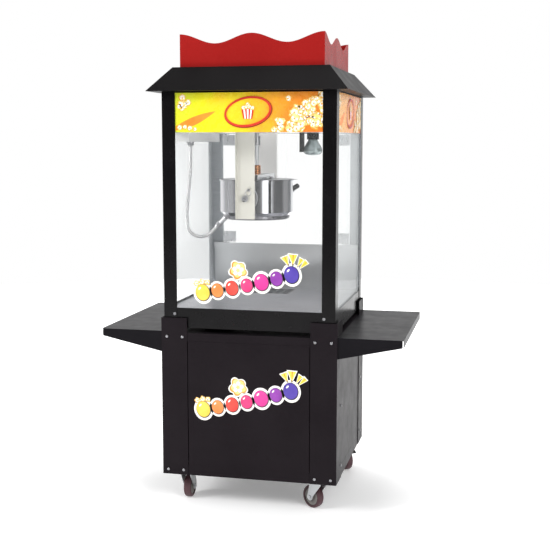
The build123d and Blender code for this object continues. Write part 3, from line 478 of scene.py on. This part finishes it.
# ------------------------------------------------------------- heat lamp
k = Mat("frosted_reflector_bulb")
k.color(k.ramp(k.noise(30.0, 3.0), [(0.3, lin(128, 140, 140)), (0.75, lin(168, 180, 180))]))
k.rough(k.remap(k.noise(60.0, 4.0), 0.12, 0.28))
k.b.inputs["Coat Weight"].default_value = 0.6
k.b.inputs["Metallic"].default_value = 0.35
BULB = k.m
prof = [(0.0, 1.1380), (0.007, 1.1382), (0.014, 1.1390), (0.020, 1.1403), (0.0255, 1.1425), (0.0293, 1.1460),
        (0.0311, 1.1503), (0.0315, 1.1550), (0.0309, 1.1600), (0.0291, 1.1655), (0.0262, 1.1712), (0.0228, 1.1770),
        (0.0195, 1.1826), (0.0168, 1.1875), (0.0152, 1.1920), (0.0143, 1.1960), (0.0136, 1.2000), (0.0135, 1.2215),
        (0.0, 1.2215)]
bulb = lathe("reflector_bulb", prof, (0.149, 0.020), BULB, "case", 64)
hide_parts("heat_lamp")


# ------------------------------------------------------------ printed films
def ink(name, c0, c1, r=0.3):
    m = Mat(name)
    m.color(m.ramp(m.noise(26.0, 5.0), [(0.3, c0), (0.72, c1)]))
    m.rough(m.remap(m.noise(70.0, 3.0), r, r + 0.15))
    return m.m


def banner_ink(name, across, side=False):
    """Printed film, from yellow-green at one end to deep orange at the other."""
    m = Mat(name)
    sep = m.node("ShaderNodeSeparateXYZ")
    m.link(m.tc.outputs["Object"], sep.inputs["Vector"])
    pos = m.remap(sep.outputs[across], 0.0, 1.0, -0.24, 0.24)
    wob = m.node("ShaderNodeMath", operation="ADD")
    m.link(pos, wob.inputs[0])
    m.link(m.remap(m.noise(9.0, 3.0), -0.14, 0.14), wob.inputs[1])
    front = [(0.0, lin(206, 214, 48)), (0.28, lin(226, 220, 36)), (0.5, lin(240, 200, 44)), (0.72, lin(236, 158, 48)),
             (1.0, lin(226, 122, 44))]
    flank = [(0.0, lin(236, 176, 70)), (0.35, lin(240, 158, 60)), (0.7, lin(236, 140, 58)), (1.0, lin(224, 120, 50))]
    m.color(m.ramp(wob.outputs[0], flank if side else front))
    m.rough(m.remap(m.noise(60.0, 3.0), 0.22, 0.34))
    return m.m


INK_WHITE = ink("ink_white", lin(244, 240, 232), lin(252, 250, 246))
INK_CREAM = ink("ink_popcorn", lin(240, 200, 104), lin(250, 226, 160))
INK_AMBER = ink("ink_popcorn_shade", lin(206, 132, 36), lin(232, 172, 66))
INK_RED = ink("ink_red", lin(196, 40, 28), lin(214, 60, 40))
INK_DARKRED = ink("ink_dark_red", lin(120, 26, 16), lin(150, 40, 24))
INK_ORANGE = ink("ink_orange", lin(236, 120, 34), lin(246, 150, 52))
INK_BLACK = ink("ink_black", lin(28, 24, 30), lin(40, 34, 42))
INK_YELLOW = ink("ink_yellow", lin(246, 208, 52), lin(252, 228, 96))
BLOBS = [ink("ink_blob_%d" % i, lin(*a), lin(*b)) for i, (a, b) in enumerate((
    ((238, 196, 60), (246, 216, 96)), ((232, 128, 60), (242, 150, 84)), ((222, 60, 52), (236, 84, 70)),
    ((216, 46, 110), (230, 70, 130)), ((206, 40, 136), (222, 66, 154)), ((126, 44, 150), (150, 66, 172)),
    ((66, 48, 150), (90, 72, 172))))]


class Film:
    """Printed shapes on one flat face. u runs to the right seen from outside, v is height."""

    def __init__(self, name, origin, u_dir, out, gap=0.00012):
        self.gap = gap
        self.name, self.o, self.u, self.n = name, Vector(origin), Vector(u_dir), Vector(out)
        self.parts = {}

    def poly(self, pts, mat, level):
        v, f = self.parts.setdefault((mat.name, level), ([], []))
        s = len(v)
        for a, b in pts:
            v.append(self.o + self.u * a + Vector((0, 0, b)) + self.n * self.gap * level)
        f.append(tuple(range(s, s + len(pts))))

    def finish(self):
        out = []
        for (m, level), (v, f) in self.parts.items():
            o = mesh_object(self.name + "_" + m + "_%d" % level, v, f, bpy.data.materials[m], None)
            bm = bmesh.new()
            bm.from_mesh(o.data)
            for face in bm.faces:
                face.normal_update()
                if face.normal.dot(self.n) < 0:
                    face.normal_flip()
            bmesh.ops.triangulate(bm, faces=[x for x in bm.faces if len(x.verts) > 4])
            bm.to_mesh(o.data)
            bm.free()
            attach(o, "case")
            out.append(o)
        return out


def circle(cx, cy, r, n=28, sx=1.0, sy=1.0, tilt=0.0):
    out = []
    for i in range(n):
        a = 2 * math.pi * i / n
        x, y = r * sx * math.cos(a), r * sy * math.sin(a)
        out.append((cx + x * math.cos(tilt) - y * math.sin(tilt), cy + x * math.sin(tilt) + y * math.cos(tilt)))
    return out


def puff(cx, cy, r, lobes, phase, n=60):
    out = []
    for i in range(n):
        a = 2 * math.pi * i / n
        q = r * (0.74 + 0.26 * abs(math.cos(lobes * (a + phase) / 2)) + 0.05 * math.sin(3 * a + phase * 5))
        out.append((cx + q * math.cos(a), cy + q * math.sin(a)))
    return out


def clip(pts, u0, u1, v0, v1):
    """Keep a printed shape inside the film's edges."""
    return [(min(max(a, u0), u1), min(max(b, v0), v1)) for a, b in pts]


def popped(film, cx, cy, r, seed, level, box=None):
    rnd = random.Random(seed)
    lobes = rnd.choice((4, 5, 5, 6))
    ph = rnd.uniform(0, 6.28)
    shapes = [(puff(cx, cy, r, lobes, ph), INK_AMBER, level),
              (puff(cx + r * 0.05, cy + r * 0.07, r * 0.86, lobes, ph + 0.05), INK_CREAM, level + 1)]
    for i in range(lobes - 1):
        a = 2 * math.pi * (i + 0.5) / lobes - ph
        shapes.append((circle(cx + 0.42 * r * math.cos(a), cy + 0.42 * r * math.sin(a), r * 0.24, 14), INK_WHITE, level + 2))
    shapes.append((circle(cx - r * 0.06, cy - r * 0.1, r * 0.15, 10), INK_ORANGE, level + 3))
    for pts, m, lv in shapes:
        if box:
            pts = clip(pts, *box)
            if max(p[0] for p in pts) - min(p[0] for p in pts) < 0.0005 or max(p[1] for p in pts) - min(p[1] for p in pts) < 0.0005:
                continue
        film.poly(pts, m, lv)


def ring(film, cx, cy, rx, ry, w, mat, level, n=64, tilt=0.0):
    a, b = circle(cx, cy, 1.0, n, rx, ry, tilt), circle(cx, cy, 1.0, n, rx - w, ry - w, tilt)
    for i in range(n):
        j = (i + 1) % n
        film.poly([a[i], a[j], b[j], b[i]], mat, level)


def banner(name, origin, u_dir, out, ink_mat, half, z0=1.2137, z1=1.3364):
    f = Film(name, origin, u_dir, out, 0.00005)
    box = (-half, half, z0, z1)
    n = 24
    for i in range(n):
        a, b = -half + 2 * half * i / n, -half + 2 * half * (i + 1) / n
        f.poly([(a, z0), (b, z0), (b, z1), (a, z1)], ink_mat, 1)
    # loose swoosh at the left, popped corn at both ends
    sw = []
    for i in range(17):
        t = i / 16
        sw.append((-0.235 + 0.13 * t, z0 + 0.020 + 0.045 * t + 0.008 * math.sin(math.pi * t)))
    for i in range(16, -1, -1):
        t = i / 16
        sw.append((-0.235 + 0.13 * t, z0 + 0.006 + 0.058 * t - 0.012 * math.sin(math.pi * t)))
    for i in range(16):
        q = [sw[i], sw[i + 1], sw[33 - i - 1], sw[33 - i]]
        f.poly(clip(q, *box), INK_ORANGE, 2)
    rnd = random.Random(3)
    for i in range(9):
        popped(f, -half + 0.014 + rnd.uniform(0, 0.034), z1 - 0.014 - rnd.uniform(0, 0.034), rnd.uniform(0.008, 0.013), 40 + i, 3 + 4 * (i % 3), box)
    for i in range(4):
        popped(f, -0.222 + 0.016 * i + rnd.uniform(-.003, .003), z0 + 0.012 + rnd.uniform(-0.003, 0.005), rnd.uniform(0.007, 0.010), 60 + i, 3 + 4 * (i % 2), box)
    for i in range(70):
        t = rnd.random()
        u = 0.075 + (half - 0.07) * math.sqrt(t)
        reach = 0.10 * ((u - 0.05) / (half - 0.05)) ** 1.1 + 0.018
        popped(f, u, z0 + 0.006 + rnd.random() * reach, rnd.uniform(0.010, 0.0175), 100 + i, 3 + 4 * (i % 9), box)
    popped(f, 0.128, z1 - 0.020, 0.011, 300, 3, box)
    # middle: plain red ring around a striped tub of corn
    ring(f, 0.0, (z0 + z1) / 2 + 0.002, 0.076, 0.046, 0.0065, INK_RED, 44, tilt=0.18)
    ring(f, 0.0015, (z0 + z1) / 2 + 0.0005, 0.0775, 0.0475, 0.0030, INK_DARKRED, 43, tilt=0.18)
    zc = (z0 + z1) / 2 - 0.020
    for i in range(7):
        a0, a1 = -1 + 2 * i / 7, -1 + 2 * (i + 1) / 7
        f.poly([(a0 * 0.014, zc), (a1 * 0.014, zc), (a1 * 0.020, zc + 0.030), (a0 * 0.020, zc + 0.030)],
               INK_RED if i % 2 == 0 else INK_WHITE, 44)
    for i, (a, b) in enumerate(((-0.014, 0.034), (-0.005, 0.037), (0.006, 0.036), (0.015, 0.033), (0.0, 0.044))):
        popped(f, a, zc + b, 0.0075, 500 + i, 46 + 4 * (i % 2))
    return f.finish()


front_y = -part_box("case_glass")[1][0]
glass_lo, glass_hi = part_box("case_glass")
banner("banner_front", (0.0, glass_lo[1], 0.0), (1, 0, 0), (0, -1, 0), banner_ink("banner_print_front", 0), 0.2364)
banner("banner_right", (glass_hi[0], -0.0, 0.0), (0, 1, 0), (1, 0, 0), banner_ink("banner_print_side", 1, True), 0.2364)
banner("banner_left", (glass_lo[0], 0.0, 0.0), (0, -1, 0), (-1, 0, 0), banner_ink("banner_print_left", 1, True), 0.2364)


def motif(name, y, u0, v0, u1, v1, size):
    """Rising row of round candy-coloured drops with white borders, a puff over it and sun rays at its end."""
    f = Film(name, (0.0, y, 0.0), (1, 0, 0), (0, -1, 0))
    ang = math.atan2(v1 - v0, u1 - u0)
    n = 7
    sizes = (1.34, 1.14, 1.20, 1.12, 1.34, 1.16, 1.36)
    cs = []
    for i in range(n):
        t = i / (n - 1)
        s = math.sin(math.pi * t) * size * 0.16
        cs.append((u0 + (u1 - u0) * t, v0 + (v1 - v0) * t - s, size * sizes[i]))
    for (a, b, r) in cs:
        f.poly(circle(a, b, r * 0.74, 40, 0.94, 1.08, ang), INK_WHITE, 1)
    for (a, b, r) in cs:
        f.poly(circle(a, b, r * 0.575, 40, 0.94, 1.08, ang), INK_BLACK, 2)
    for i, (a, b, r) in enumerate(cs):
        f.poly(circle(a - r * 0.02, b + r * 0.02, r * 0.53, 40, 0.94, 1.08, ang), BLOBS[i], 3)
        f.poly(circle(a - r * 0.24, b + r * 0.30, r * 0.08, 16, 1.6, 0.8, ang + 0.6), INK_WHITE, 4)
    # plain popped kernel above the third and fourth drops
    px = u0 + (u1 - u0) * 0.40
    py = v0 + (v1 - v0) * 0.40 + size * 1.45
    f.poly(puff(px, py, size * 0.98, 5, 0.4), INK_WHITE, 1)
    f.poly(puff(px, py, size * 0.86, 5, 0.4), INK_AMBER, 2)
    f.poly(puff(px + size * 0.03, py + size * 0.04, size * 0.74, 5, 0.43), INK_CREAM, 3)
    for i in range(5):
        a = 2 * math.pi * (i + 0.5) / 5 - 0.4
        f.poly(circle(px + 0.36 * size * math.cos(a), py + 0.36 * size * math.sin(a), size * 0.2, 18), INK_WHITE, 4)
    # small crown of kernels over the first drop
    for i, (a, b) in enumerate(((-0.62, 0.86), (-0.1, 1.02), (0.42, 0.98))):
        popped(f, u0 + a * size, v0 + b * size, size * 0.30, 700 + i, 3)
    # sun rays behind the last drop
    for a0, a1, r0, r1 in ((1.30, 1.72, 0.95, 1.95), (1.78, 2.14, 0.95, 1.85), (0.62, 0.86, 0.95, 1.9), (0.90, 1.14, 0.95, 1.8)):
        rx, ry = u1, v1
        q = [(rx + size * r0 * math.cos((a0 + a1) / 2 - 0.05), ry + size * r0 * math.sin((a0 + a1) / 2 - 0.05)),
             (rx + size * r1 * math.cos(a0), ry + size * r1 * math.sin(a0)),
             (rx + size * r1 * math.cos(a1), ry + size * r1 * math.sin(a1))]
        cx, cy = sum(p[0] for p in q) / 3, sum(p[1] for p in q) / 3
        f.poly([(cx + (a - cx) * 1.28, cy + (b - cy) * 1.28) for a, b in q], INK_WHITE, 1)
        f.poly(q, INK_YELLOW, 2)
        f.poly([q[0], ((q[1][0] * 0.62 + q[2][0] * 0.38), (q[1][1] * 0.62 + q[2][1] * 0.38)),
                ((q[1][0] * 0.45 + q[2][0] * 0.55), (q[1][1] * 0.45 + q[2][1] * 0.55))], INK_ORANGE, 3)
    return f.finish()


motif("motif_glass", glass_lo[1], -0.150, 0.705, 0.140, 0.770, 0.034)
motif("motif_panel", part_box("cart_front_panel")[0][1], -0.148, 0.325, 0.140, 0.400, 0.034)


# ------------------------------------------------------------ floor and light
def floor_mat():
    k = Mat("pale_floor")
    k.color(k.ramp(k.noise(1.2, 3.0), [(0.3, (0.90, 0.90, 0.90, 1)), (0.7, (0.93, 0.93, 0.93, 1))]))
    k.rough(0.6)
    k.b.inputs["Specular IOR Level"].default_value = 0.1
    k.b.inputs["Emission Color"].default_value = (1.0, 1.0, 1.0, 1.0)
    ln = k.node("ShaderNodeVectorMath", operation="LENGTH")
    k.link(k.tc.outputs["Object"], ln.inputs[0])
    k.link(k.remap(ln.outputs["Value"], 0.24, 0.85, 1.6, 4.2), k.b.inputs["Emission Strength"])
    return k.m


rim = [(5.5 * math.cos(2 * math.pi * i / 96), 5.5 * math.sin(2 * math.pi * i / 96), 0.0) for i in range(96)]
fl = mesh_object("studio_floor", rim, [tuple(range(96))], floor_mat(), None)

world = bpy.data.worlds.new("studio")
bpy.context.scene.world = world
world.use_nodes = True
nt = world.node_tree
bg = nt.nodes["Background"]
bg.inputs["Color"].default_value = (1.0, 1.0, 1.0, 1.0)


def wnode(kind, **kw):
    n = nt.nodes.new(kind)
    for key, v in kw.items():
        setattr(n, key, v)
    return n


# Soft white surround, brightest behind and overhead, with a dim room on the photographer's side
# and one tall window of light to the right of it.
tc = wnode("ShaderNodeTexCoord")
sep = wnode("ShaderNodeSeparateXYZ")
nt.links.new(tc.outputs["Generated"], sep.inputs["Vector"])
neg = wnode("ShaderNodeMath", operation="MULTIPLY")
neg.inputs[1].default_value = -1.0
nt.links.new(sep.outputs["Y"], neg.inputs[0])
az = wnode("ShaderNodeMath", operation="ARCTAN2")
nt.links.new(sep.outputs["X"], az.inputs[0])
nt.links.new(neg.outputs[0], az.inputs[1])
to01 = wnode("ShaderNodeMapRange")
to01.inputs["From Min"].default_value = -math.pi
to01.inputs["From Max"].default_value = math.pi
nt.links.new(az.outputs[0], to01.inputs["Value"])
band = wnode("ShaderNodeValToRGB")
STOPS = [(-180, 1.0), (-124, 1.0), (-104, 0.50), (-70, 0.46), (-52, 0.10), (20, 0.09), (30, 0.26), (35, 2.2), (57, 2.5),
         (64, 0.44), (72, 0.10), (100, 0.08), (112, 0.36), (126, 0.34), (138, 0.20), (158, 1.0)]
els = band.color_ramp.elements
while len(els) < len(STOPS):
    els.new(0.5)
for el, (deg, val) in zip(els, STOPS):
    el.position = (deg + 180.0) / 360.0
for el, (deg, val) in zip(els, STOPS):
    el.color = (val / 3.0, val / 3.0, val / 3.0, 1.0)
nt.links.new(to01.outputs["Result"], band.inputs["Fac"])
dbl = wnode("ShaderNodeMath", operation="MULTIPLY")
dbl.inputs[1].default_value = 3.0
nt.links.new(band.outputs["Color"], dbl.inputs[0])
high = wnode("ShaderNodeMapRange")
high.inputs["From Min"].default_value = 0.35
high.inputs["From Max"].default_value = 0.85
nt.links.new(sep.outputs["Z"], high.inputs["Value"])
mixz = wnode("ShaderNodeMix", data_type="FLOAT")
nt.links.new(high.outputs["Result"], mixz.inputs[0])
nt.links.new(dbl.outputs[0], mixz.inputs[2])
mixz.inputs[3].default_value = 0.75
lp = wnode("ShaderNodeLightPath")
seen = wnode("ShaderNodeMix", data_type="FLOAT")
nt.links.new(lp.outputs["Is Camera Ray"], seen.inputs[0])
nt.links.new(mixz.outputs[0], seen.inputs[2])
seen.inputs[3].default_value = 1.0
nt.links.new(seen.outputs[0], bg.inputs["Strength"])


def area(name, loc, target, size, power):
    d = bpy.data.lights.new(name, "AREA")
    d.shape = "RECTANGLE"
    d.size, d.size_y = size
    d.energy = power
    o = bpy.data.objects.new(name, d)
    bpy.context.scene.collection.objects.link(o)
    o.location = loc
    o.rotation_euler = (Vector(target) - Vector(loc)).to_track_quat("-Z", "Y").to_euler()
    return o


area("key_left", (-3.4, -2.6, 2.6), (0, 0, 1.0), (1.4, 1.8), 130.0)
area("key_right", (3.0, -3.4, 3.2), (0, 0, 1.0), (1.4, 1.4), 90.0)
area("top_soft", (0.0, 1.2, 4.4), (0, 0, 0.6), (2.6, 2.6), 120.0)
